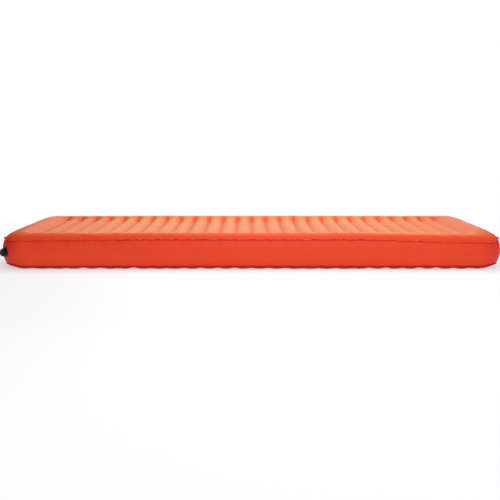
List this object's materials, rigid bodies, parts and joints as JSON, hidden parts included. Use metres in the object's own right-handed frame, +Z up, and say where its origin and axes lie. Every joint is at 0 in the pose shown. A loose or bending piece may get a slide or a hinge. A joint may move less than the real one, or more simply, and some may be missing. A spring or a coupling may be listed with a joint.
{
  "type": "inflatable sleeping pad",
  "caption": "Air pad with upright side walls, transverse welded tubes over I-shaped baffles, seamed edges and a twist valve at one corner.",
  "frame": {"origin": "centre of the pad on the floor plane it rests on", "axes": "+X along the pad, away from the valve's end; +Y across it, away from the valve's side; +Z up"},
  "size_m": [1.83, 0.64, 0.132],
  "materials": {
    "top_fabric": "fine nylon weave, slight sheen",
    "wall_fabric": "fine nylon weave, slight sheen",
    "bottom_fabric": "fine nylon weave, slight sheen",
    "baffle_film": "smooth film-faced fabric",
    "soft_polyurethane": "satin",
    "valve_plastic": "satin",
    "knob_plastic": "fine matt grain",
    "seal_rubber": "smooth",
    "clip_plastic": "smooth"
  },
  "bodies": {
    "base": {"bottom_panel": "bottom_fabric", "side_wall": "wall_fabric", "baffle_01": "baffle_film", "baffle_02": "baffle_film", "baffle_03": "baffle_film", "baffle_04": "baffle_film", "baffle_05": "baffle_film", "baffle_06": "baffle_film", "baffle_07": "baffle_film", "baffle_08": "baffle_film", "baffle_09": "baffle_film", "baffle_10": "baffle_film", "baffle_11": "baffle_film", "baffle_12": "baffle_film", "baffle_13": "baffle_film", "baffle_14": "baffle_film", "baffle_15": "baffle_film", "baffle_16": "baffle_film", "baffle_17": "baffle_film", "baffle_18": "baffle_film", "baffle_19": "baffle_film", "baffle_20": "baffle_film", "baffle_21": "baffle_film", "baffle_22": "baffle_film", "baffle_23": "baffle_film", "baffle_24": "baffle_film", "baffle_25": "baffle_film", "baffle_26": "baffle_film", "baffle_27": "baffle_film"},
    "top": {"top_panel": "top_fabric"},
    "valve": {"valve_flange": "soft_polyurethane", "valve_backing_ring": "soft_polyurethane", "valve_body": "valve_plastic", "valve_plug": "valve_plastic", "plug_seal_ring": "seal_rubber", "collar_seal_ring": "seal_rubber"},
    "cap_carrier": {"cap_gasket": "seal_rubber"},
    "cap": {"valve_cap": "knob_plastic", "cap_retaining_clip": "clip_plastic"}
  },
  "joints": [
    {"name": "deflate", "type": "slide", "parent": "base", "child": "top", "axis": [0, 0, 1], "range_m": [-0.092, 0], "stiffness_N_per_m": 600, "springref_m": 0.02, "deforming": ["side_wall", "baffle_01", "baffle_02", "baffle_03", "baffle_04", "baffle_05", "baffle_06", "baffle_07", "baffle_08", "baffle_09", "baffle_10", "baffle_11", "baffle_12", "baffle_13", "baffle_14", "baffle_15", "baffle_16", "baffle_17", "baffle_18", "baffle_19", "baffle_20", "baffle_21", "baffle_22", "baffle_23", "baffle_24", "baffle_25", "baffle_26", "baffle_27"]},
    {"name": "valve_drop", "type": "slide", "parent": "base", "child": "valve", "axis": [0, 0, 1], "range_m": [-0.04436, 0]},
    {"name": "cap_lift", "type": "slide", "parent": "valve", "child": "cap_carrier", "axis": [-0.7071, -0.7071, 0], "range_m": [0, 0.0036]},
    {"name": "cap_turn", "type": "hinge", "parent": "cap_carrier", "child": "cap", "pos_m": [-0.89723, -0.30223, 0.0635], "axis": [-0.7071, -0.7071, 0], "range_deg": [0, 420]}
  ],
  "couplings": [
    {"joint": "valve_drop", "follows": "deflate", "ratio": 0.48},
    {"joint": "cap_lift", "follows": "cap_turn", "m_per_rad": 0.00047746}
  ]
}
